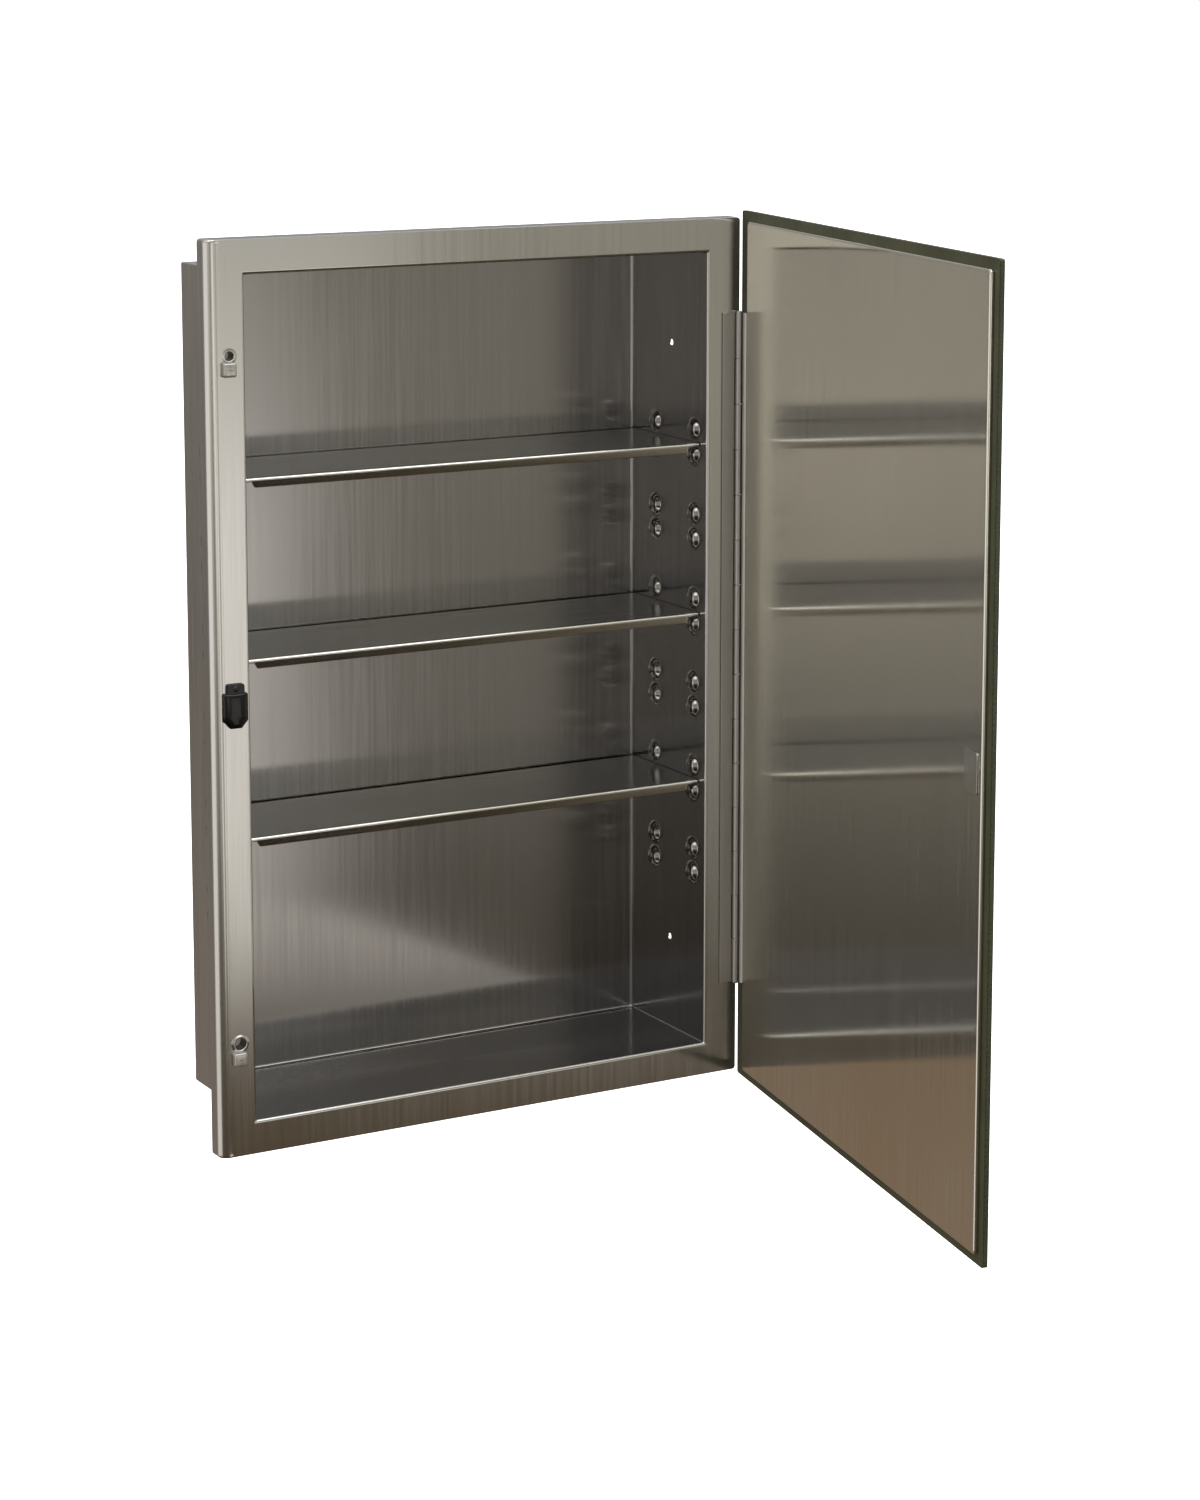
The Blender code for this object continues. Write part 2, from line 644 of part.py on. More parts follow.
def axis_empty(name, angle, collection):
    empty = bpy.data.objects.new(name, None)
    empty.location = (AXIS_X, AXIS_Y, 0.0)
    empty.rotation_euler = (0.0, 0.0, angle)
    collection.objects.link(empty)
    return empty


def main():
    clear_scene()
    parts = new_collection("medicine_cabinet")
    cutters = new_collection("cutters")
    guides = new_collection("guides")
    fixed = axis_empty("hinge_axis", 0.0, guides)
    door = axis_empty("door_axis", OPEN_ANGLE, guides)
    cabinet_body(parts, cutters)
    bumpers(parts)
    shelves(parts, cutters)
    hinge(parts, cutters, fixed, door)
    mirror(parts, door)
    door_pan(parts, cutters, door)
    mirror_tapes(parts, door)
    strike_plate(parts, door)
    catch_housing(parts, cutters)
    catch_magnet(parts)
    catch_rivet(parts)
    shade_parts(parts)


main()
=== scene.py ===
"""Looks for the recessed medicine cabinet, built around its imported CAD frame."""

import math

import bmesh
import bpy
from mathutils import Matrix, Vector, noise

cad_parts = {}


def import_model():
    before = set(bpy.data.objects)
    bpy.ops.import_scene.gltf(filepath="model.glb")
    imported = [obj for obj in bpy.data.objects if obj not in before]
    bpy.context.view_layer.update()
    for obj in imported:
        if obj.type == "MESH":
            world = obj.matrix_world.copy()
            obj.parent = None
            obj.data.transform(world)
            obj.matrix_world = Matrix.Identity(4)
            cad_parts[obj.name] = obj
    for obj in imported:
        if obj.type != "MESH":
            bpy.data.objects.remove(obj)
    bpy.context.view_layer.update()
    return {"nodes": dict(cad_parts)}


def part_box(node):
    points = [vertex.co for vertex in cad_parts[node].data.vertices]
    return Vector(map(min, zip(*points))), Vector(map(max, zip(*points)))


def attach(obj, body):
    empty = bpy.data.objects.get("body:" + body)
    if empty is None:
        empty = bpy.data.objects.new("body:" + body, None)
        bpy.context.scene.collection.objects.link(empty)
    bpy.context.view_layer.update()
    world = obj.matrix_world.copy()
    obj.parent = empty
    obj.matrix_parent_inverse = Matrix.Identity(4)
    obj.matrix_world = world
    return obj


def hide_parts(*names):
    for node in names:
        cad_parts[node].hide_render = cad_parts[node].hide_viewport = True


MM = 0.001
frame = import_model()

# Dimensions of the CAD frame, read back from its nodes where a node gives them. The box opens
# toward -Y: INNER is its clear opening, BAR the flange's width, FACE_Y the flange's front and
# AXIS the door's pin. Door pieces are built closed and turned about the pin by OPEN.
BODY_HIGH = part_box("cabinet_body")[1]
SHEET = 0.8 * MM
HALF_W, HALF_H = BODY_HIGH.x, BODY_HIGH.z
BAR_SIDE, BAR_END = 26.0 * MM, 23.2 * MM
INNER_W, INNER_H = HALF_W - BAR_SIDE, HALF_H - BAR_END
DEPTH = 101.4 * MM
FACE_Y = -(DEPTH + SHEET)
RETURN = 14.7 * MM
AXIS_INSET, AXIS_RISE = 2.3 * MM, 2.7 * MM
AXIS = Vector((HALF_W - AXIS_INSET, FACE_Y - AXIS_RISE, 0.0))
OPEN = math.radians(79.7)
DOOR = Matrix.Translation(AXIS) @ Matrix.Rotation(OPEN, 4, "Z")
HINGE_LOW, HINGE_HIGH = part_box("hinge_frame_leaf")
HINGE_LENGTH = HINGE_HIGH.z - HINGE_LOW.z

# Mesh settings: the angle in degrees from which an edge is sharp, how close points become one,
# and how many quads a large flat sheet has across and up.
SHARP = 38
WELD = 0.02 * MM
ACROSS, UP = 30, 44

PIECES = []

# ---------------------------------------------------------------- mesh helpers


def arc(centre, radius, start, end, steps):
    """Points of a circular arc between two angles in degrees."""
    points = []
    for i in range(steps + 1):
        a = math.radians(start + (end - start) * i / steps)
        points.append((centre[0] + radius * math.cos(a), centre[1] + radius * math.sin(a)))
    return points


def finish_mesh(name, bm, mats, body, replaces=(), angle=SHARP, where=None, weld=WELD / 2):
    """Turns a bmesh into a smooth-shaded piece that rides on a body."""
    if weld:
        bmesh.ops.remove_doubles(bm, verts=bm.verts, dist=weld)
    bmesh.ops.recalc_face_normals(bm, faces=bm.faces)
    mesh = bpy.data.meshes.new(name)
    bm.to_mesh(mesh)
    bm.free()
    for mat in mats if isinstance(mats, (list, tuple)) else [mats]:
        mesh.materials.append(mat)
    obj = bpy.data.objects.new(name, mesh)
    bpy.context.scene.collection.objects.link(obj)
    if where is not None:
        obj.matrix_world = where
    mesh.shade_smooth()
    mesh.set_sharp_from_angle(angle=math.radians(angle))
    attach(obj, body)
    if replaces:
        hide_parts(*replaces)
    PIECES.append(obj)
    return obj


def loft(bm, rings, closed=True):
    """Quads between successive rings of vertices."""
    for near, far in zip(rings, rings[1:]):
        count = len(near)
        for i in range(count if closed else count - 1):
            j = (i + 1) % count
            bm.faces.new((near[i], near[j], far[j], far[i]))


def caps(bm, rings, last_mat=0):
    """Closes both ends of a loft; last_mat paints the second."""
    bm.faces.new(rings[0])
    bm.faces.new(rings[-1]).material_index = last_mat


def lathe(bm, profile, where, segments=32):
    """Turns (radius, height) points round local Z; a point on the axis closes the end."""
    rings = []
    for radius, height in profile:
        if radius < 1e-9:
            rings.append([bm.verts.new(where @ Vector((0, 0, height)))] * segments)
            continue
        ring = []
        for k in range(segments):
            a = 2 * math.pi * k / segments
            point = Vector((radius * math.cos(a), radius * math.sin(a), height))
            ring.append(bm.verts.new(where @ point))
        rings.append(ring)
    for near, far in zip(rings, rings[1:]):
        for k in range(segments):
            n = (k + 1) % segments
            corners = []
            for vert in (near[k], near[n], far[n], far[k]):
                if vert not in corners:
                    corners.append(vert)
            if len(corners) > 2:
                bm.faces.new(corners)


def in_mm(points):
    return [(a * MM, b * MM) for a, b in points]


def add_box(bm, low, high):
    size = Vector(high) - Vector(low)
    middle = (Vector(high) + Vector(low)) / 2
    place = Matrix.Translation(middle) @ Matrix.Diagonal((*size, 1.0))
    bmesh.ops.create_cube(bm, size=1.0, matrix=place)


def rounded_rectangle(half_w, half_h, radius, across, up, corner):
    """Points of a rounded rectangle, with the same count for any size."""
    radius = max(radius, 1e-6)
    a, b = half_w - radius, half_h - radius
    points = [(-a + 2 * a * i / across, -half_h) for i in range(across)]
    points += arc((a, -b), radius, -90, 0, corner)
    points += [(half_w, -b + 2 * b * i / up) for i in range(1, up)]
    points += arc((a, b), radius, 0, 90, corner)
    points += [(a - 2 * a * i / across, half_h) for i in range(1, across)]
    points += arc((-a, b), radius, 90, 180, corner)
    points += [(-half_w, b - 2 * b * i / up) for i in range(1, up)]
    points += arc((-a, -b), radius, 180, 270, corner)[:-1]
    return points


def grid_patch(bm, half_w, half_h, across, up, place):
    """A flat grid of quads inside a ring of rounded_rectangle with no corner radius."""
    rows = []
    for j in range(up + 1):
        z = -half_h + 2 * half_h * j / up
        columns = [-half_w + 2 * half_w * i / across for i in range(across + 1)]
        rows.append([bm.verts.new(place(x, z)) for x in columns])
    loft(bm, rows, closed=False)


def flat_face(bm, near, half_w, half_h, corner, place):
    """Closes the ring near with a band of quads and a flat grid, in the plane that place gives."""
    points = rounded_rectangle(half_w, half_h, 0.0, ACROSS, UP, corner)
    loft(bm, [near, [bm.verts.new(place(x, z)) for x, z in points]])
    grid_patch(bm, half_w - PATCH_GAP, half_h - PATCH_GAP, ACROSS, UP, place)


def cut(target, bm, name):
    """Cuts the closed bodies in bm out of target and keeps the result as its mesh."""
    bmesh.ops.recalc_face_normals(bm, faces=bm.faces)
    mesh = bpy.data.meshes.new(name)
    bm.to_mesh(mesh)
    bm.free()
    tool = bpy.data.objects.new(name, mesh)
    bpy.context.scene.collection.objects.link(tool)
    bpy.context.view_layer.update()
    step = target.modifiers.new(name, "BOOLEAN")
    step.operation = "DIFFERENCE"
    step.solver = "EXACT"
    step.object = tool
    graph = bpy.context.evaluated_depsgraph_get()
    result = bpy.data.meshes.new_from_object(target.evaluated_get(graph))
    target.modifiers.clear()
    old = target.data
    target.data = result
    bpy.data.meshes.remove(old)
    bpy.data.objects.remove(tool)
    result.shade_smooth()
    result.set_sharp_from_angle(angle=math.radians(SHARP))


def flatten_normals(obj):
    """Keeps the flat faces flat where a smooth bend runs into them."""
    step = obj.modifiers.new("normals", "WEIGHTED_NORMAL")
    step.mode = "FACE_AREA"
    step.weight = 80
    step.keep_sharp = True


def bevel(obj, width, segments, angle):
    """Rounds the edges that turn by more than angle degrees."""
    step = obj.modifiers.new("edges", "BEVEL")
    step.width = width
    step.segments = segments
    step.limit_method = "ANGLE"
    step.angle_limit = math.radians(angle)
    step.harden_normals = False


# ------------------------------------------------------------------- materials


def nodes_of(name):
    """A new material, its tree and its shader."""
    mat = bpy.data.materials.new(name)
    mat.use_nodes = True
    tree = mat.node_tree
    shader = tree.nodes["Principled BSDF"]
    return mat, tree, shader


def tex_noise(tree, scale, detail, stretch=(1, 1, 1), rough=0.5):
    """Noise fixed to the object, drawn out along any axis whose stretch is small."""
    coord = tree.nodes.new("ShaderNodeTexCoord")
    mapping = tree.nodes.new("ShaderNodeMapping")
    mapping.inputs["Scale"].default_value = stretch
    tex = tree.nodes.new("ShaderNodeTexNoise")
    tex.inputs["Scale"].default_value = scale
    tex.inputs["Detail"].default_value = detail
    tex.inputs["Roughness"].default_value = rough
    tree.links.new(coord.outputs["Object"], mapping.inputs["Vector"])
    tree.links.new(mapping.outputs["Vector"], tex.inputs["Vector"])
    return tex.outputs["Fac"]


def spread(tree, value, low, high, from_low=0.3, from_high=0.7):
    """Maps a value from its usual range to low and high."""
    node = tree.nodes.new("ShaderNodeMapRange")
    node.inputs["From Min"].default_value = from_low
    node.inputs["From Max"].default_value = from_high
    node.inputs["To Min"].default_value = low
    node.inputs["To Max"].default_value = high
    tree.links.new(value, node.inputs["Value"])
    return node.outputs["Result"]


def add(tree, a, b, operation="ADD"):
    """Sum, or another operation, of two sockets or numbers."""
    node = tree.nodes.new("ShaderNodeMath")
    node.operation = operation
    for socket, value in zip(node.inputs, (a, b)):
        if isinstance(value, (int, float)):
            socket.default_value = value
        else:
            tree.links.new(value, socket)
    return node.outputs[0]


def blend_colour(tree, factor, first, second):
    """first where factor is 0 and second where it is 1; each is a colour or a socket."""
    node = tree.nodes.new("ShaderNodeMix")
    node.data_type = "RGBA"
    tree.links.new(factor, node.inputs["Factor"])
    for key, value in (("A", first), ("B", second)):
        socket = [s for s in node.inputs if s.name == key and s.type == "RGBA"][0]
        if isinstance(value, tuple):
            socket.default_value = (*value, 1.0)
        else:
            tree.links.new(value, socket)
    return [s for s in node.outputs if s.type == "RGBA"][0]


def bump(tree, shader, height, distance, strength):
    node = tree.nodes.new("ShaderNodeBump")
    node.inputs["Strength"].default_value = strength
    node.inputs["Distance"].default_value = distance
    tree.links.new(height, node.inputs["Height"])
    tree.links.new(node.outputs["Normal"], shader.inputs["Normal"])


GRAIN_SCALE, CLOUD_SCALE = 420, 5
GRAIN_SHARE = 0.6
UPRIGHT_GRAIN, LEVEL_GRAIN = (1, 1, 0.02), (0.02, 1, 1)


def steel(name, light, dark, rough, grain=UPRIGHT_GRAIN, axis="Z", vary=0.03, relief=0.0006, drawn=0.94):
    """Rolled stainless sheet: fine grain that draws highlights out across it, and faint wiping marks."""
    mat, tree, shader = nodes_of(name)
    streak = tex_noise(tree, GRAIN_SCALE, 3, grain, 0.6)
    cloud = tex_noise(tree, CLOUD_SCALE, 2)
    streak_part = add(tree, streak, GRAIN_SHARE, "MULTIPLY")
    cloud_part = add(tree, cloud, 1 - GRAIN_SHARE, "MULTIPLY")
    tone = spread(tree, add(tree, streak_part, cloud_part), 0, 1)
    tree.links.new(blend_colour(tree, tone, dark, light), shader.inputs["Base Color"])
    value = add(tree, spread(tree, streak, -vary, vary), rough)
    value = add(tree, value, spread(tree, cloud, -vary / 2, vary / 2))
    tree.links.new(value, shader.inputs["Roughness"])
    shader.inputs["Metallic"].default_value = 1.0
    shader.inputs["Anisotropic"].default_value = drawn
    tangent = tree.nodes.new("ShaderNodeTangent")
    tangent.direction_type = "RADIAL"
    tangent.axis = axis
    tree.links.new(tangent.outputs[0], shader.inputs["Tangent"])
    bump(tree, shader, streak, relief * MM, 0.3)
    return mat


def plain(name, first, second, rough, scale, metallic=0.0, relief=0.02, specular=0.5):
    """Any other surface: two mixed tones, a roughness that varies a little and a fine bump."""
    mat, tree, shader = nodes_of(name)
    tone = tex_noise(tree, scale, 4)
    fine = tex_noise(tree, scale * 12, 2)
    colour = blend_colour(tree, spread(tree, tone, 0, 1), first, second)
    tree.links.new(colour, shader.inputs["Base Color"])
    value = add(tree, spread(tree, fine, -0.05, 0.05), rough)
    tree.links.new(value, shader.inputs["Roughness"])
    shader.inputs["Metallic"].default_value = metallic
    shader.inputs["Specular IOR Level"].default_value = specular
    bump(tree, shader, fine, relief * MM, 0.4)
    return mat


def mirror_face():
    """Silvered float glass with a faint film of dust and wiping marks."""
    mat, tree, shader = nodes_of("mirror_silver")
    wipe = tex_noise(tree, 14, 5, (1, 1, 3))
    colour = blend_colour(tree, spread(tree, wipe, 0, 1), (0.80, 0.83, 0.81), (0.84, 0.87, 0.85))
    tree.links.new(colour, shader.inputs["Base Color"])
    tree.links.new(spread(tree, wipe, 0.008, 0.03), shader.inputs["Roughness"])
    shader.inputs["Metallic"].default_value = 1.0
    return mat


WALL = steel("cabinet_steel", (0.60, 0.595, 0.58), (0.56, 0.555, 0.54), 0.17)
# A darker copy of the cabinet steel: painted shade for the inside of the box.
SHADED_INSIDE_STEEL = steel("inside_steel_painted_shade", (0.38, 0.37, 0.365), (0.345, 0.335, 0.33), 0.16, relief=0.00025)
# The supports' steel is darker than the wall's: painted shade inside the box.
DOME_SHADED_STEEL = steel("dome_steel_painted_shade", (0.40, 0.385, 0.37), (0.34, 0.325, 0.31), 0.13, vary=0.02, drawn=0.0)
SHELF = steel("shelf_steel", (0.70, 0.685, 0.65), (0.63, 0.615, 0.58), 0.17, LEVEL_GRAIN, "X")
HINGE = steel(
    "hinge_steel", (0.56, 0.54, 0.51), (0.46, 0.445, 0.42), 0.38, vary=0.06, relief=0.004, drawn=0.3
)
PAN = steel("pan_steel", (0.72, 0.70, 0.64), (0.68, 0.66, 0.60), 0.14, drawn=1.0)
STRIKE = steel("strike_steel", (0.80, 0.79, 0.74), (0.72, 0.71, 0.67), 0.2, drawn=0.4)
# Black of the catch's moulding; the flange holes' throats also use it as painted shade.
BLACK_AND_HOLE_SHADE = plain(
    "catch_black", (0.004, 0.004, 0.004), (0.007, 0.006, 0.006), 0.10, 60, relief=0.006, specular=0.3
)
FILM = plain("backing_film", (0.042, 0.045, 0.020), (0.072, 0.076, 0.034), 0.40, 25)
EDGE = plain("glass_edge", (0.030, 0.040, 0.016), (0.050, 0.062, 0.028), 0.28, 40, relief=0.01)
FOAM = plain("foam", (0.70, 0.69, 0.64), (0.55, 0.54, 0.5), 0.9, 300, relief=0.1)
RIVET = plain("rivet_black", (0.02, 0.02, 0.02), (0.04, 0.04, 0.04), 0.35, 200, 0.4)
BUMPER = plain("bumper", (0.50, 0.49, 0.45), (0.44, 0.43, 0.39), 0.2, 80, 0.5, relief=0.01)
SILVER = mirror_face()


# --------------------------------------------------------------- cabinet shell

CORNER = 4
REAR_R, LIP_R, ROLL_R = 2.2 * MM, 1.9 * MM, 6.0 * MM
REAR_Y = FACE_Y + DEPTH
PATCH_GAP = 0.001 * MM
WALL_STEPS = 8
# How much of the roll's outset a squarely turned edge keeps.
SQUARE = 0.09
SHELF_TOPS = [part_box(n)[1].z for n in ("shelf_lower", "shelf_middle", "shelf_upper")]
SLOT_PITCH = (SHELF_TOPS[2] - SHELF_TOPS[0]) / 4
SLOT_TOPS = [SHELF_TOPS[0] + SLOT_PITCH * (i - 1) for i in range(6)]


def shell_profile():
    """Stations of the sheet's section: (outset, share of the bar, depth, corner radius)."""
    stations = []

    def run(points, share, corner):
        stations.extend((out, share, depth, corner) for out, depth in points)

    rear = (-REAR_R, DEPTH - REAR_R)
    lip = (LIP_R, LIP_R)
    roll = (-ROLL_R, ROLL_R)
    inner, outer = 0.9 * MM, 2.2 * MM
    wall = [rear[1] - (rear[1] - LIP_R) * i / WALL_STEPS for i in range(1, WALL_STEPS)]
    swell = ((3.2, 0.0), (2.2, 0.05), (1.4, 0.22), (0.6, 0.12))
    run(arc(rear, REAR_R, 90, 0, 8), 0.0, inner)
    run([(0.0, depth) for depth in wall], 0.0, inner)
    run([(0.0, LIP_R + 0.4 * MM)], 0.0, inner)
    run(arc(lip, LIP_R, 180, 270, 8), 0.0, inner)
    run([(LIP_R + 0.4 * MM, 0.0)], 0.0, inner)
    run([(-ROLL_R - out * MM, depth * MM) for out, depth in swell], 1.0, outer)
    run(arc(roll, ROLL_R, 272, 360, 12), 1.0, outer)
    run([(0.0, RETURN - 0.3 * MM), (-0.25 * MM, RETURN), (-SHEET, RETURN)], 1.0, outer)
    run(arc(roll, ROLL_R - SHEET, 360, 270, 10), 1.0, outer)
    run(arc(lip, LIP_R - SHEET, 270, 180, 4), 0.0, inner)
    run([(SHEET, depth) for depth in reversed(wall)], 0.0, inner)
    run(arc(rear, REAR_R + SHEET, 0, 90, 8), 0.0, inner)
    return stations


def flange_point(x, z, out, share, depth):
    """Moves a ring's point so that the free side has the deep roll and the other edges turn down squarely."""
    if share == 0.0:
        return x, FACE_Y + depth, z
    full_w, full_h = INNER_W + BAR_SIDE, INNER_H + BAR_END
    free_side = x < -(full_w + out) + 0.01 * MM
    if out < -ROLL_R and not free_side:
        depth = 0.0
    if x > 0:
        x *= (full_w + SQUARE * out) / (full_w + out)
    z *= (full_h + SQUARE * out) / (full_h + out)
    return x, FACE_Y + depth, z


def waver(a, b, seed, scale=7.0):
    """Smooth unevenness of thin sheet, about -1 to 1."""
    return noise.noise(Vector((a * scale, b * scale, seed)))


def fade(value, limit, width):
    """1 well inside limit, falling to 0 over width before it."""
    return max(0.0, min(1.0, (limit - abs(value)) / width))


BACK_WAVE, SIDE_WAVE = 0.12 * MM, 0.10 * MM
WAVE_FADE, SIDE_FADE = 40 * MM, 20 * MM


def oil_can(bm):
    """Slight hollows and swells of thin sheet, on the back and the side walls."""
    for vert in bm.verts:
        x, y, z = vert.co
        if y > -3 * MM:
            amount = fade(x, INNER_W, WAVE_FADE) * fade(z, INNER_H, WAVE_FADE)
            vert.co.y += BACK_WAVE * amount * waver(x, z, 1.0)
        elif abs(x) < INNER_W + 2 * MM and abs(x) > INNER_W - 1 * MM and y > FACE_Y + 8 * MM:
            middle = y - (FACE_Y + DEPTH / 2)
            amount = fade(middle, DEPTH / 2 - 6 * MM, SIDE_FADE) * fade(z, INNER_H, WAVE_FADE)
            vert.co.x += SIDE_WAVE * amount * waver(y, z, 5.0)


def cabinet_shell():
    """The folded box and flange as one sheet, with its openings cut; the inside faces take a darker copy of
    the steel as painted shade.
    """
    bm = bmesh.new()
    rings = []
    for out, share, depth, corner in shell_profile():
        half_w = INNER_W + out + share * BAR_SIDE
        half_h = INNER_H + out + share * BAR_END
        points = rounded_rectangle(half_w, half_h, corner, ACROSS, UP, CORNER)
        rings.append([bm.verts.new(flange_point(x, z, out, share, depth)) for x, z in points])
    loft(bm, rings)
    inset = REAR_R + 2 * MM
    for near, y in ((rings[0], REAR_Y), (rings[-1], REAR_Y + SHEET)):
        flat_face(bm, near, INNER_W - inset, INNER_H - inset, CORNER, lambda x, z, y=y: (x, y, z))
    bmesh.ops.remove_doubles(bm, verts=bm.verts, dist=WELD)
    oil_can(bm)
    shell = finish_mesh("cabinet_shell", bm, WALL, "cabinet", ["cabinet_body"], weld=0)
    cut(shell, shell_openings(), "shell_openings")
    # Faces inside the box take the darker steel, painted shade where the recess is shaded.
    shell.data.materials.append(SHADED_INSIDE_STEEL)
    for face in shell.data.polygons:
        x, y, z = face.center
        within = abs(x) < INNER_W + 0.3 * MM and abs(z) < INNER_H + 0.3 * MM
        if within and FACE_Y + LIP_R < y < REAR_Y + 0.35 * MM:
            face.material_index = len(shell.data.materials) - 1


DOME_COLUMNS = (16.5 * MM, 68.5 * MM)
DOME_STEP, SLOT_RISE, DOME_HOLE_R = 8.7 * MM, 0.3 * MM, 6.7 * MM


def dome_places():
    """A pair of supports above and below each slot, in two columns on both side walls."""
    for side in (-1, 1):
        turn = Matrix.Rotation(math.radians(-90 * side), 4, "Y")
        for column in DOME_COLUMNS:
            for top in SLOT_TOPS:
                for rise in (-1, 1):
                    z = top + SLOT_RISE + rise * DOME_STEP
                    yield Matrix.Translation((side * INNER_W, FACE_Y + column, z)) @ turn


# Height and radius of each pierced flange hole, then the catch and the wall screws.
HOLES = ((226.4 * MM, 3.4 * MM), (-224.0 * MM, 4.4 * MM))
HOLE_X = -HALF_W + 15.0 * MM
CATCH_X, CATCH_Z = -HALF_W + 15.1 * MM, -2.2 * MM
CATCH_SLOT_W, CATCH_SLOT_H = 12.4 * MM, 18.4 * MM
SCREW_Y, SCREW_Z, SCREW_R = FACE_Y + 48.0 * MM, 211.9 * MM, 2.2 * MM
TO_X = Matrix.Rotation(math.radians(90), 4, "Y")
TO_FRONT = Matrix.Rotation(math.radians(90), 4, "X")


def shell_openings():
    """Closed bodies to cut out: behind each support, the screw and flange holes, and the catch's slot."""
    bm = bmesh.new()

    def drill(where, radius, length, segments=32):
        bmesh.ops.create_cone(
            bm, cap_ends=True, segments=segments, radius1=radius, radius2=radius, depth=length, matrix=where
        )

    for place in dome_places():
        drill(place, DOME_HOLE_R, 5 * MM, 24)
    for side in (-1, 1):
        for z in (-SCREW_Z, SCREW_Z):
            drill(Matrix.Translation((side * INNER_W, SCREW_Y, z)) @ TO_X, SCREW_R, 8 * MM)
    for z, radius in HOLES:
        drill(Matrix.Translation((HOLE_X, FACE_Y, z)) @ TO_FRONT, radius, 5 * MM)
    low = Vector((CATCH_X - CATCH_SLOT_W / 2, FACE_Y - 2 * MM, CATCH_Z - CATCH_SLOT_H / 2))
    add_box(bm, low, low + Vector((CATCH_SLOT_W, 4 * MM, CATCH_SLOT_H)))
    return bm


# Half sections of a pressed support, as (radius, height) in millimetres.
DOME_OUTER = (
    (9.2, -0.05), (8.5, 0.03), (7.8, 0.18), (7.2, 0.5), (6.7, 1.05), (6.1, 1.95),
    (5.3, 2.95), (4.2, 3.75), (2.8, 4.28), (1.4, 4.46), (0.0, 4.5),
)
DOME_INNER = (
    (0.0, 3.7), (1.5, 3.58), (3.0, 3.12), (4.2, 2.44), (5.2, 1.56),
    (6.0, 0.62), (6.6, -0.1), (7.3, -0.62), (8.0, -0.78), (8.0, -0.4),
)


def shelf_domes():
    """Pressed domes of sheet, with the hollow on the outside of each wall, in a darker steel that paints the
    shade inside the box.
    """
    bm = bmesh.new()
    profile = in_mm(DOME_OUTER + DOME_INNER + DOME_OUTER[:1])
    for place in dome_places():
        lathe(bm, profile, place, segments=28)
    finish_mesh("shelf_supports", bm, DOME_SHADED_STEEL, "cabinet", angle=60)


def hole_rims():
    """Drawn rims round the two pierced flange holes: a low upper one and a raised lower one, with a black
    throat behind the flange as painted shade down each hole.
    """
    bm = bmesh.new()
    for (z, radius), lift in zip(HOLES, (0.25, 0.85)):
        r = radius / MM
        crest = [(r + 2.2, -0.06), (r + 1.7, 0.02), (r + 1.1, 0.45 * lift)]
        crest += [(r + 0.5, 0.92 * lift), (r + 0.1, lift), (r - 0.3, 0.7 * lift)]
        throat = [(r - 0.45, 0.0), (r - 0.5, -0.6), (r - 0.5, -8.5), (r - 0.1, -8.5), (r - 0.1, -0.7)]
        place = Matrix.Translation((HOLE_X, FACE_Y, z)) @ TO_FRONT
        lathe(bm, in_mm(crest + throat + crest[:1]), place, segments=36)
    # The throat behind the flange is painted black: painted shade seen down each hole.
    for face in bm.faces:
        if face.calc_center_median().y > FACE_Y + 0.2 * MM:
            face.material_index = 1
    finish_mesh("flange_hole_rims", bm, [WALL, BLACK_AND_HOLE_SHADE], "cabinet", angle=60)


# --------------------------------------------------------------------- shelves


HEM_DEPTHS = (9.0, 98.0)
NOTCH = 10.0 * MM
NOTCH_STEPS = (0.35, 0.7, 0.86, 0.94, 0.985, 1.04, 1.15)
# Drop of the front and rear lips in millimetres: in the end notches, then along the shelf.
FRONT_LIP, REAR_LIP = (2.9, 7.0), (2.4, 5.0)
SAG, SHELF_WAVE = 0.25 * MM, 0.18 * MM


def shelf_section(lip, rear_lip, lean):
    """Closed section of hemmed sheet, as (depth behind the face, height) in millimetres."""
    (front, rear), t, r = HEM_DEPTHS, 1.0, 1.8
    points = arc((front + r, -r), r, 180, 90, 6)
    points += [(front + 20 + (rear - front - 22) * i / 6, 0.0) for i in range(7)]
    points += arc((rear - 1.0, -1.0), 1.0, 90, 0, 3)
    points += [(rear, -rear_lip), (rear - t, -rear_lip), (rear - t, -1.6), (rear - 1.6, -t)]
    points += [(front + 20 + (rear - front - 24) * i / 6, -t) for i in range(6, -1, -1)]
    points += [(front + 3.6, -t), (front + 2.6, -t - 0.5), (front + 2.2, -t - 1.4)]
    points += [(front + 2.2 + lean, -lip + 0.9), (front + 1.9 + lean, -lip + 0.3), (front + 1.1 + lean, -lip)]
    points += [(front + 0.3 + lean, -lip + 0.35), (front + lean, -lip + 1.0)]
    points += [(front + 0.05, -r - 0.3)]
    return points


def shelf_stations(half):
    """Places along a shelf, closer together where the end notches begin."""
    last = NOTCH * NOTCH_STEPS[-1]
    stations = [-half] + [-half + NOTCH * f for f in NOTCH_STEPS]
    ends = [-x for x in reversed(stations)]
    return stations + [-half + last + 2 * (half - last) * i / 40 for i in range(1, 40)] + ends


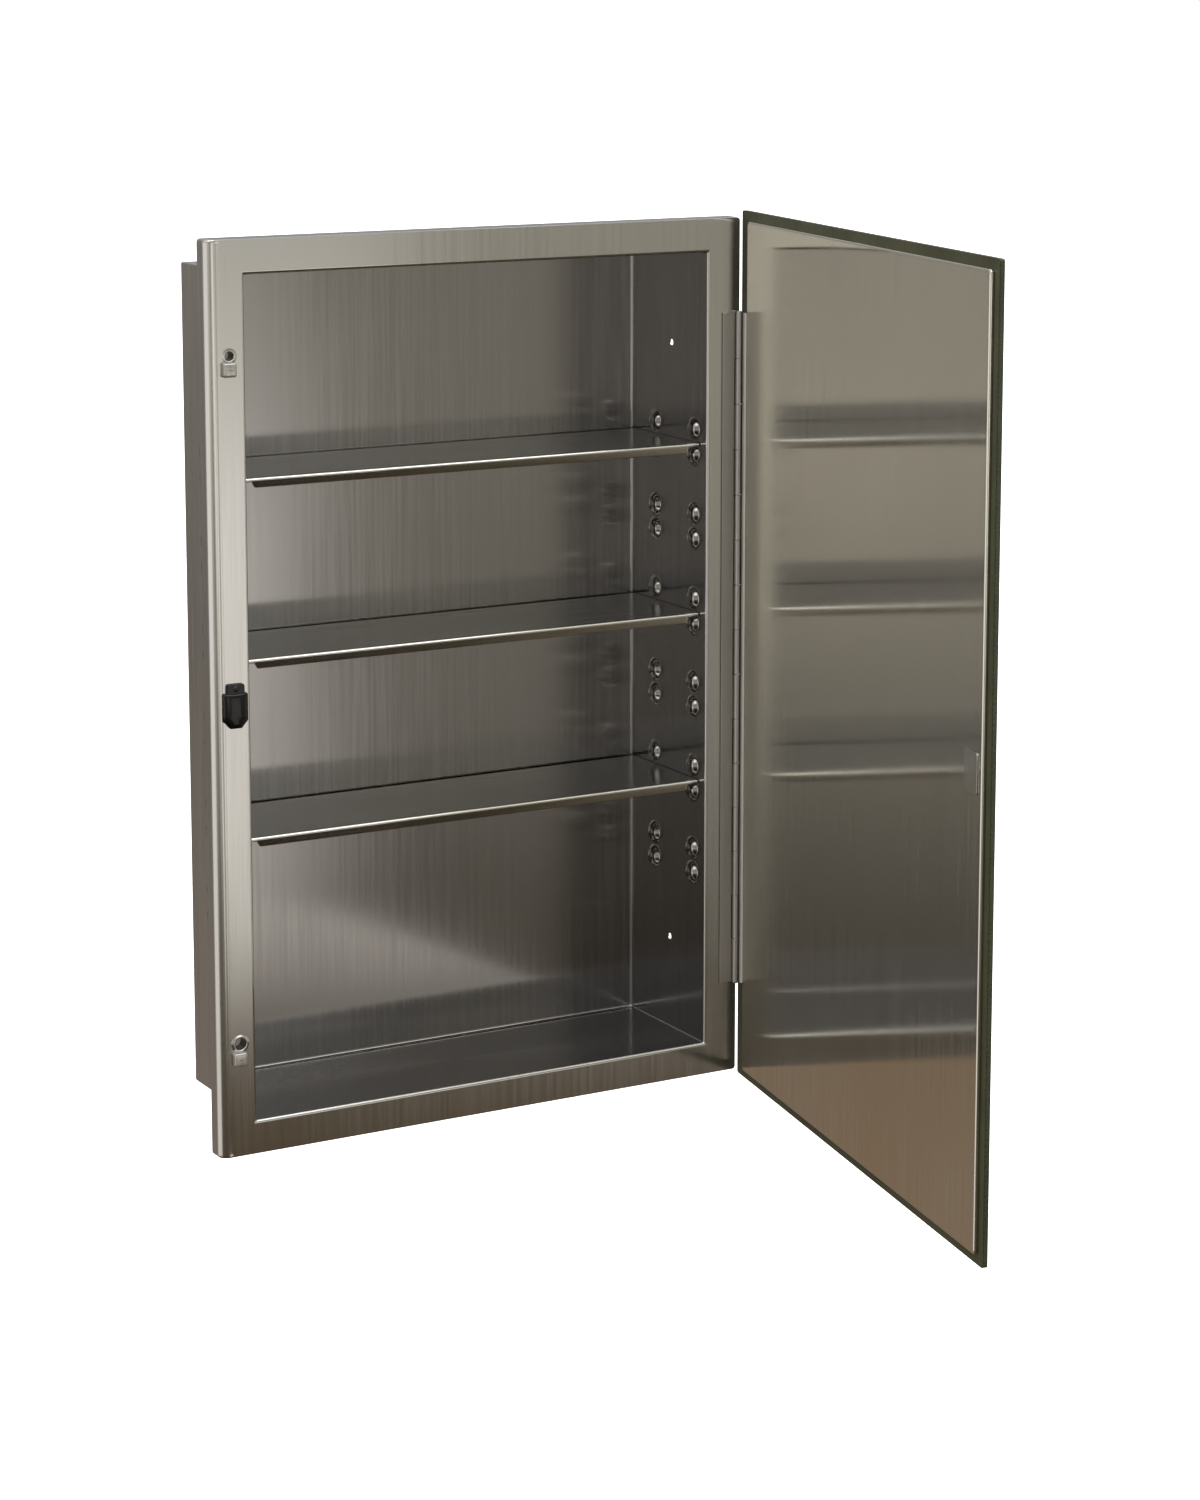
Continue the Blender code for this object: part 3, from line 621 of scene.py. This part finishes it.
def shelf_piece(node):
    """One shelf: its lips are lower at the ends, and it sags and wavers a little."""
    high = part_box(node)[1]
    half, top = high.x, high.z
    bm = bmesh.new()
    rings = []
    for x in shelf_stations(half):
        inside = (half - abs(x)) / NOTCH
        drop = max(0.0, min(1.0, (inside - 0.80) / 0.24))
        drop = math.sqrt(1 - (1 - drop) ** 2)
        lip = FRONT_LIP[0] + (FRONT_LIP[1] - FRONT_LIP[0]) * drop
        rear_lip = REAR_LIP[0] + (REAR_LIP[1] - REAR_LIP[0]) * drop
        lean = 0.25 + 0.7 * (1 - x / half) * drop
        sag = SAG * (1 - (x / half) ** 2)
        ring = []
        for depth, z in shelf_section(lip, rear_lip, lean):
            inner = fade(depth - 53.5, 42, 14)
            wave = SHELF_WAVE * waver(x, depth * MM, top * 30 + 2.0, 9.0) * inner
            ring.append(bm.verts.new((x, FACE_Y + depth * MM, top + z * MM - sag * inner + wave)))
        rings.append(ring)
    loft(bm, rings)
    caps(bm, rings)
    finish_mesh(node + "_sheet", bm, SHELF, node, [node], angle=40)


# ----------------------------------------------------------------------- hinge

KNUCKLES, GAP = 15, 0.4 * MM
KNUCKLE_R, LEAF_T = 2.4 * MM, 1.0 * MM
CURL_STEPS, LEAF_LEVELS = 30, 60
# Step of the door's leaf from the knuckles to the pan, and half the profile of the pin, in millimetres.
LEAF_STEP = ((3.3, 2.4), (3.9, 2.65), (4.9, 3.85), (5.6, 4.1), (26, 4.1))
PIN_END = ((0.0, 1.2), (1.0, 1.15), (1.6, 0.9), (1.9, 0.45), (1.9, 0.2), (1.0, 0.2))


def strip(bm, path, thickness, low, high, levels):
    """A sheet that follows path, thickness to its left, between two heights."""
    count = len(path)
    outer, inner = [], []
    for i, (a, b) in enumerate(path):
        before, after = path[max(i - 1, 0)], path[min(i + 1, count - 1)]
        tangent = Vector((after[0] - before[0], after[1] - before[1])).normalized()
        outer.append((a, b))
        inner.append((a - tangent.y * thickness, b + tangent.x * thickness))
    heights = [low + (high - low) * i / levels for i in range(levels + 1)]
    rows = []
    for z in heights:
        near = [bm.verts.new((-a, -b, z)) for a, b in outer]
        far = [bm.verts.new((-a, -b, z)) for a, b in inner]
        rows.append(near + list(reversed(far)))
    loft(bm, rows)
    for row in (rows[0], rows[-1]):
        for i in range(count - 1):
            bm.faces.new((row[i], row[i + 1], row[2 * count - 2 - i], row[2 * count - 1 - i]))


def knuckle_gaps(own, where):
    """Boxes at the other leaf's knuckles; own is 0 or 1, the first knuckle of this leaf."""
    bm = bmesh.new()
    pitch = HINGE_LENGTH / KNUCKLES
    reach = KNUCKLE_R + 0.5 * MM
    for i in range(KNUCKLES):
        if i % 2 == own:
            continue
        start = -HINGE_LENGTH / 2 + i * pitch - (GAP / 2 if i else 2 * MM)
        end = -HINGE_LENGTH / 2 + (i + 1) * pitch + (GAP / 2 if i < KNUCKLES - 1 else 2 * MM)
        add_box(bm, (-reach, -4 * MM, start), (reach + 1 * MM, 4 * MM, end))
    bm.transform(where)
    return bm


def hinge():
    """Two curled leaves with alternate knuckles, and the pin through them."""
    half = HINGE_LENGTH / 2
    r = KNUCKLE_R
    fixed = Matrix.Translation(AXIS)
    frame_path = arc((0, 0), r, -15, 270, CURL_STEPS)
    frame_path += [(r + 1 * MM, -r), (r + 5 * MM, -r), (11.9 * MM, -r)]
    door_path = arc((0, 0), r, 15, -270, CURL_STEPS) + in_mm(LEAF_STEP)
    leaves = (
        ("frame", frame_path, LEAF_T, "cabinet", fixed, 0),
        ("door", door_path, -LEAF_T, "door", DOOR, 1),
    )
    for side, path, thickness, body, where, own in leaves:
        bm = bmesh.new()
        strip(bm, path, thickness, -half, half, LEAF_LEVELS)
        node = "hinge_" + side + "_leaf"
        leaf = finish_mesh(side + "_leaf", bm, HINGE, body, [node], 40, where)
        cut(leaf, knuckle_gaps(own, where), side + "_gaps")
        bevel(leaf, 0.12 * MM, 1, 50)
    profile = [(radius * MM, -half - past * MM) for radius, past in PIN_END]
    profile += [(a, -b) for a, b in reversed(profile)]
    bm = bmesh.new()
    lathe(bm, profile, fixed, 28)
    finish_mesh("hinge_rod", bm, HINGE, "cabinet", ["hinge_pin"], 40)


# ------------------------------------------------------------------------ door

PAN_LOW, PAN_HIGH = 7.4 * MM, 391.4 * MM
PAN_HALF_W, PAN_MID = (PAN_HIGH - PAN_LOW) / 2, (PAN_HIGH + PAN_LOW) / 2
PAN_HALF_H = (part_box("door_pan")[1].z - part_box("door_pan")[0].z) / 2
PAN_BACK, PAN_RIM, PAN_BEND = 2.3 * MM, 4.9 * MM, 1.4 * MM
PAN_WAVE = 0.22 * MM
GLASS_HALF_W = 406.4 / 2 * MM
GLASS_MID = -8.5 * MM + GLASS_HALF_W
GLASS_HALF_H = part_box("mirror_glass")[1].z
GLASS_CORNER = 1.6 * MM
STRIKE_LOW, STRIKE_HIGH, STRIKE_HALF_H = 368 * MM, 386 * MM, 13 * MM


def door_point(middle, a, m, z):
    """A point of the closed door: a across from middle, m in front of the pin and z up."""
    return (-(middle + a), -m, z)


def door_rings(bm, stations, half_w, half_h, middle, base, counts):
    """Rings of a door sheet from (inset, distance in front of the pin, corner radius)."""
    rings = []
    for inset, m, radius in stations:
        points = rounded_rectangle(half_w - inset, half_h - inset, radius, *counts)
        rings.append([bm.verts.new(door_point(middle, a, m, base + z)) for a, z in points])
    loft(bm, rings)
    return rings


def door_pan():
    """A shallow pan: rounded bends down to an open rim, and a face that wavers a little."""
    corner = 6
    outer, inner = 2.6 * MM, 1.9 * MM
    bend = (PAN_BEND, PAN_BACK + PAN_BEND)
    bm = bmesh.new()
    stations = [(inset, m, outer) for inset, m in reversed(arc(bend, PAN_BEND, 180, 270, 6))]
    stations += [(0.0, PAN_RIM - 0.2 * MM, outer), (0.15 * MM, PAN_RIM, 2.4 * MM), (SHEET, PAN_RIM, inner)]
    stations += [(inset, m, inner) for inset, m in arc(bend, PAN_BEND - SHEET, 180, 270, 4)]
    rings = door_rings(bm, stations, PAN_HALF_W, PAN_HALF_H, PAN_MID, 0.0, (ACROSS, UP, corner))
    for near, m in ((rings[0], PAN_BACK), (rings[-1], PAN_BACK + SHEET)):
        half_w, half_h = PAN_HALF_W - 6 * MM, PAN_HALF_H - 6 * MM
        flat_face(bm, near, half_w, half_h, corner, lambda a, z, m=m: door_point(PAN_MID, a, m, z))
    bmesh.ops.remove_doubles(bm, verts=bm.verts, dist=WELD)
    for vert in bm.verts:
        if -vert.co.y < PAN_BACK + SHEET + 0.1 * MM:
            x, z = vert.co.x + PAN_MID, vert.co.z
            amount = fade(x, PAN_HALF_W - 3 * MM, 50 * MM) * fade(z, PAN_HALF_H - 3 * MM, 50 * MM)
            vert.co.y += PAN_WAVE * amount * waver(x, z, 9.0, 5.0)
    finish_mesh("pan_sheet", bm, PAN, "door", ["door_pan"], where=DOOR, weld=0)


def slab(name, low, high, edge_r, mats, node):
    """A sheet of the glass's outline with ground edges; the last of mats paints its outward face."""
    section = list(reversed(arc((edge_r, low + edge_r), edge_r, 180, 270, 4)))
    section += arc((edge_r, high - edge_r), edge_r, 180, 90, 4)
    stations = [(inset, m, GLASS_CORNER - inset / 2) for inset, m in section]
    bm = bmesh.new()
    rings = door_rings(bm, stations, GLASS_HALF_W, GLASS_HALF_H, GLASS_MID, 0.0, (12, 16, 8))
    caps(bm, rings, len(mats) - 1)
    finish_mesh(name, bm, mats, "door", [node], 50, DOOR, weld=0)


def mirror():
    """Silvered glass with ground edges over its dark backing film."""
    slab("mirror_sheet", 5.6 * MM, 8.8 * MM, 0.45 * MM, [EDGE, SILVER], "mirror_glass")
    slab("backing_sheet", 5.1 * MM, 5.5 * MM, 0.12 * MM, [FILM], "mirror_backing")


def strike():
    """The flat plate on the pan that the catch holds."""
    half_w, middle = (STRIKE_HIGH - STRIKE_LOW) / 2, (STRIKE_HIGH + STRIKE_LOW) / 2
    section = in_mm(((0.0, 2.1), (0.0, 1.75), (0.12, 1.6), (0.45, 1.55)))
    stations = [(inset, m, 2.0 * MM) for inset, m in section]
    bm = bmesh.new()
    rings = door_rings(bm, stations, half_w, STRIKE_HALF_H, middle, CATCH_Z, (4, 6, 6))
    caps(bm, rings)
    finish_mesh("strike", bm, STRIKE, "door", ["strike_plate"], 30, DOOR, weld=0)


# ----------------------------------------------------------------------- catch


CATCH_HALF_W, CATCH_HALF_H, CATCH_CUT = 8.4, 11.5, 5.0
# Sections in millimetres: (inset, rise) and, for the body, the share of its crown.
CATCH_BODY = (
    (0.15, 0.2, 0), (0.0, 0.4, 0), (0.0, 1.5, 0), (0.12, 1.75, 0.35), (0.45, 1.95, 0.7),
    (1.2, 2.05, 1), (2.4, 2.1, 1), (3.8, 2.1, 1), (5.2, 2.1, 1), (6.8, 2.1, 1),
)
CATCH_TAB = ((0.1, 0.2), (0.0, 0.35), (0.0, 1.5), (0.2, 1.85), (0.6, 2.0))
CATCH_PLUG = ((0.0, 0.3), (0.0, -8.6), (0.4, -9.0))
CATCH_NODES = ["catch_housing", "catch_magnet", "catch_pole_left", "catch_pole_right"]
TAB_RISE, RIVET_RISE = 13.4, 14.5 * MM
RIVET_PROFILE = (
    (0.0, 2.75), (0.8, 2.8), (1.5, 2.65), (2.0, 2.3), (2.1, 2.0), (1.2, 1.95),
    (1.2, -1.0), (2.0, -1.0), (1.9, -1.6), (0.9, -1.8), (0.0, -1.8),
)
BUMPER_SECTION = ((0.0, 0.2), (0.05, 2.6), (0.2, 3.6), (0.45, 4.15), (0.9, 4.45), (1.6, 4.57), (3.6, 4.6))


def chamfered(inset, steps=5):
    """Catch outline with two cut-off bottom corners, as many points for any inset."""
    w, h, c = CATCH_HALF_W - inset, CATCH_HALF_H - inset, CATCH_CUT - inset * 0.4
    left = ((-w, h - 1), (-w, c - h))
    bottom = ((c - w - 0.4, -h), (w - c + 0.4, -h))
    right = ((w, c - h), (w, h - 1))
    top = ((w - 1, h), (1 - w, h))
    points = []
    for (x0, z0), (x1, z1) in (left, bottom, right, top):
        for i in range(steps + 1):
            t = i / steps
            points.append((x0 + (x1 - x0) * t, z0 + (z1 - z0) * t))
    return points


def crown(x, z):
    """How far the catch's face swells at a point, in millimetres."""
    return 1.85 * math.sqrt(max(0.0, 1 - (x / 8.5) ** 2)) - 0.25 * (z / CATCH_HALF_H) ** 2


def catch_ring(bm, points, rise, share=0.0, up=0.0):
    """A ring of points in the catch's own millimetres, rise in front of the flange."""
    ring = []
    for x, z in points:
        y = FACE_Y - (rise + share * crown(x, z)) * MM
        ring.append(bm.verts.new((CATCH_X + x * MM, y, CATCH_Z + (z + up) * MM)))
    return ring


def catch():
    """Moulded catch: a crowned black body with a thinner riveted tab above it."""
    bm = bmesh.new()
    rings = [catch_ring(bm, chamfered(inset), rise, share) for inset, rise, share in CATCH_BODY]
    loft(bm, rings)
    caps(bm, rings)
    tab = []
    for inset, rise in CATCH_TAB:
        points = rounded_rectangle(6.3 - inset, 4.2 - inset, 2.0 - inset * 0.5, 6, 4, 6)
        tab.append(catch_ring(bm, points, rise, up=TAB_RISE))
    loft(bm, tab)
    caps(bm, tab)
    plug = []
    for inset, rise in CATCH_PLUG:
        points = rounded_rectangle(6.0 - inset, 9.0 - inset, 1.0, 4, 6, 4)
        plug.append(catch_ring(bm, points, rise))
    loft(bm, plug)
    bm.faces.new(plug[-1])
    finish_mesh("catch_body", bm, BLACK_AND_HOLE_SHADE, "cabinet", CATCH_NODES, 50, weld=0)
    spot = Matrix.Translation((CATCH_X, FACE_Y, CATCH_Z + RIVET_RISE)) @ TO_FRONT
    bm = bmesh.new()
    lathe(bm, in_mm(RIVET_PROFILE), spot, 24)
    finish_mesh("catch_rivet_head", bm, RIVET, "cabinet", ["catch_rivet"], 50)


def bumper_pads():
    """Square pads with domed faces, on the CAD bumpers' places."""
    for name in ("bumper_upper", "bumper_lower"):
        low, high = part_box(name)
        middle, half = (low + high) / 2, (high.x - low.x) / 2 / MM
        bm = bmesh.new()
        rings = []
        for inset, rise in BUMPER_SECTION:
            y = FACE_Y - rise * MM
            points = rounded_rectangle(half - inset, half - inset, 1.6 - inset * 0.1, 4, 4, 5)
            rings.append([bm.verts.new((middle.x + x * MM, y, middle.z + z * MM)) for x, z in points])
        loft(bm, rings)
        caps(bm, rings)
        finish_mesh(name + "_pad", bm, BUMPER, "cabinet", [name], 60, weld=0)


def paint_tapes():
    """The mounting tapes keep their CAD shape and get their finished material."""
    for side in ("top", "bottom", "hinge_side", "free_side"):
        data = frame["nodes"]["mirror_tape_" + side].data
        data.materials.clear()
        data.materials.append(FOAM)


# --------------------------------------------------------------- stage and light


# Surroundings by direction. Each ramp gives a colour at elevations in degrees.
WARM_FLOOR = (0.105, 0.073, 0.040)
LOW = ((-90, (0.025, 0.018, 0.012)), (-40, (0.03, 0.022, 0.014)), (-27, (0.085, 0.06, 0.034)))
HIGH = ((42, (2.7, 2.7, 2.6)), (90, (2.7, 2.7, 2.6)))
REAR_HIGH = ((50, (0.9, 0.9, 0.9)), (90, (1.2, 1.2, 1.2)))
FRONT = (
    *LOW, (-19, (0.105, 0.073, 0.042)), (-16.4, (0.13, 0.11, 0.08)), (-14.5, (0.30, 0.28, 0.25)),
    (-12.5, (0.42, 0.40, 0.37)), (-7, (0.57, 0.545, 0.49)), (0, (0.56, 0.55, 0.51)),
    (12, (0.36, 0.36, 0.35)), (28, (0.6, 0.6, 0.6)), *HIGH,
)
REAR = (
    (-90, (0.22, 0.21, 0.20)), (-22, (0.24, 0.23, 0.22)), (-12, (0.22, 0.215, 0.21)),
    (0, (0.30, 0.295, 0.29)), (20, (0.40, 0.40, 0.40)), *REAR_HIGH,
)
WOOD = (
    (-90, (0.30, 0.19, 0.11)), (-22, (0.27, 0.18, 0.11)), (-12, (0.17, 0.13, 0.09)),
    (0, (0.20, 0.17, 0.13)), (20, (0.3, 0.29, 0.27)), *REAR_HIGH,
)
RIGHT_BOARD = (
    *LOW, (-19, WARM_FLOOR), (-17.5, (0.10, 0.075, 0.05)), (-17.0, (0.2, 0.17, 0.14)),
    (-15.8, (1.2, 1.14, 1.04)), (-9, (1.3, 1.25, 1.18)), (-6, (0.78, 0.75, 0.67)),
    (-1, (0.42, 0.41, 0.38)), (10, (0.30, 0.30, 0.28)), (28, (0.6, 0.6, 0.6)), *HIGH,
)
LEFT_BOARD = (
    (-90, WARM_FLOOR), (-32, (0.3, 0.26, 0.2)), (-21, (0.9, 0.84, 0.78)), (-10, (1.15, 1.1, 1.03)),
    (2, (1.0, 0.98, 0.92)), (15, (0.7, 0.7, 0.68)), (90, (1.0, 1.0, 1.0)),
)
FACING_BOARD = (
    (-90, WARM_FLOOR), (-17.5, (0.10, 0.08, 0.06)), (-15, (0.30, 0.28, 0.23)), (-13, (0.55, 0.52, 0.44)),
    (-11, (0.90, 0.86, 0.73)), (-8, (1.45, 1.37, 1.17)), (-5, (1.3, 1.24, 1.08)), (2, (1.0, 0.97, 0.86)),
    (15, (0.5, 0.5, 0.48)), (30, (0.6, 0.6, 0.6)), *HIGH,
)
DARK_BOARD = (
    (-90, WARM_FLOOR), (-18, (0.10, 0.09, 0.075)), (-12, (0.22, 0.20, 0.18)), (0, (0.30, 0.29, 0.27)),
    (30, (0.4, 0.4, 0.4)), (90, (1.0, 1.0, 1.0)),
)
# Azimuth from the front toward +X, full half width and faded half width, all in degrees.
BOARDS = (
    (19.5, 6.5, 12, RIGHT_BOARD), (-168, 7, 16, WOOD), (-98, 28, 36, LEFT_BOARD),
    (-31, 5, 11, DARK_BOARD), (-8, 8, 13, FACING_BOARD),
)
# Where the front surroundings turn into the rear ones, as the Y of a direction.
TURN_FROM, TURN_TO = -0.15, 0.25


def ramp(tree, height, stops):
    """Colour by elevation."""
    node = tree.nodes.new("ShaderNodeValToRGB")
    points = [((math.sin(math.radians(e)) + 1) / 2, (*colour, 1)) for e, colour in stops]
    band = node.color_ramp
    band.elements[0].position, band.elements[0].color = points[0]
    band.elements[1].position, band.elements[1].color = points[-1]
    for position, colour in points[1:-1]:
        band.elements.new(position).color = colour
    tree.links.new(height, node.inputs["Fac"])
    return node.outputs["Color"]


def sector(tree, heading, azimuth, full, edge):
    """1 within full degrees of an azimuth, 0 beyond edge degrees."""
    node = tree.nodes.new("ShaderNodeVectorMath")
    node.operation = "DOT_PRODUCT"
    a = math.radians(azimuth)
    node.inputs[1].default_value = (math.sin(a), -math.cos(a), 0)
    tree.links.new(heading, node.inputs[0])
    low, high = math.cos(math.radians(edge)), math.cos(math.radians(full))
    result = spread(tree, node.outputs["Value"], 0, 1, low, high)
    result.node.interpolation_type = "SMOOTHSTEP"
    return result


def world():
    """Soft studio surroundings: boards round a warm floor, and white behind the object."""
    sky = bpy.data.worlds.new("studio")
    bpy.context.scene.world = sky
    sky.use_nodes = True
    tree = sky.node_tree
    tree.nodes.clear()
    out = tree.nodes.new("ShaderNodeOutputWorld")
    shade = tree.nodes.new("ShaderNodeBackground")
    white = tree.nodes.new("ShaderNodeBackground")
    white.inputs["Color"].default_value = (1, 1, 1, 1)
    mix = tree.nodes.new("ShaderNodeMixShader")
    path = tree.nodes.new("ShaderNodeLightPath")
    coord = tree.nodes.new("ShaderNodeTexCoord")
    split = tree.nodes.new("ShaderNodeSeparateXYZ")
    tree.links.new(coord.outputs["Generated"], split.inputs[0])
    flat = tree.nodes.new("ShaderNodeVectorMath")
    flat.operation = "MULTIPLY"
    flat.inputs[1].default_value = (1, 1, 0)
    tree.links.new(coord.outputs["Generated"], flat.inputs[0])
    unit = tree.nodes.new("ShaderNodeVectorMath")
    unit.operation = "NORMALIZE"
    tree.links.new(flat.outputs[0], unit.inputs[0])
    height = spread(tree, split.outputs["Z"], 0, 1, -1, 1)
    turn = spread(tree, split.outputs["Y"], 0, 1, TURN_FROM, TURN_TO)
    colour = blend_colour(tree, turn, ramp(tree, height, FRONT), ramp(tree, height, REAR))
    for azimuth, full, edge, stops in BOARDS:
        share = sector(tree, unit.outputs[0], azimuth, full, edge)
        colour = blend_colour(tree, share, colour, ramp(tree, height, stops))
    tree.links.new(colour, shade.inputs["Color"])
    tree.links.new(path.outputs["Is Camera Ray"], mix.inputs[0])
    tree.links.new(shade.outputs[0], mix.inputs[1])
    tree.links.new(white.outputs[0], mix.inputs[2])
    tree.links.new(mix.outputs[0], out.inputs["Surface"])


FLOOR_Z, FLOOR_SIZE = -1.3, 60


def floor():
    """A wide white floor well below the object. Reflections see the surroundings, not it."""
    bm = bmesh.new()
    place = Matrix.Translation((0, 0, FLOOR_Z))
    bmesh.ops.create_grid(bm, x_segments=8, y_segments=8, size=FLOOR_SIZE, matrix=place)
    mesh = bpy.data.meshes.new("floor")
    bm.to_mesh(mesh)
    bm.free()
    obj = bpy.data.objects.new("floor", mesh)
    bpy.context.scene.collection.objects.link(obj)
    mat, _, shader = nodes_of("floor_white")
    shader.inputs["Base Color"].default_value = (0.9, 0.9, 0.9, 1)
    shader.inputs["Roughness"].default_value = 0.9
    shader.inputs["Emission Color"].default_value = (1, 1, 1, 1)
    shader.inputs["Emission Strength"].default_value = 1.0
    mesh.materials.append(mat)
    obj.visible_glossy = False
    obj.visible_diffuse = False
    obj.visible_transmission = False


CAMERA_AT = (-1.0899, -2.1872, 0.4843)
CAMERA_TURN, CAMERA_TILT = -29.446, 81
LENS, LENS_SHIFT = 86.364, -0.1578


def camera():
    """Looks down a little at the open cabinet, with a long lens."""
    data = bpy.data.cameras.new("camera")
    data.sensor_width = 36.0
    data.lens = LENS
    data.shift_y = LENS_SHIFT
    data.clip_end = 500
    obj = bpy.data.objects.new("camera", data)
    obj.location = CAMERA_AT
    obj.rotation_euler = (math.radians(CAMERA_TILT), 0, math.radians(CAMERA_TURN))
    bpy.context.scene.collection.objects.link(obj)
    bpy.context.scene.camera = obj


cabinet_shell()
shelf_domes()
hole_rims()
for shelf_node in ("shelf_upper", "shelf_middle", "shelf_lower"):
    shelf_piece(shelf_node)
hinge()
door_pan()
mirror()
strike()
catch()
bumper_pads()
paint_tapes()
world()
floor()
camera()
for piece in PIECES:
    flatten_normals(piece)
bpy.context.scene.view_settings.view_transform = "Standard"
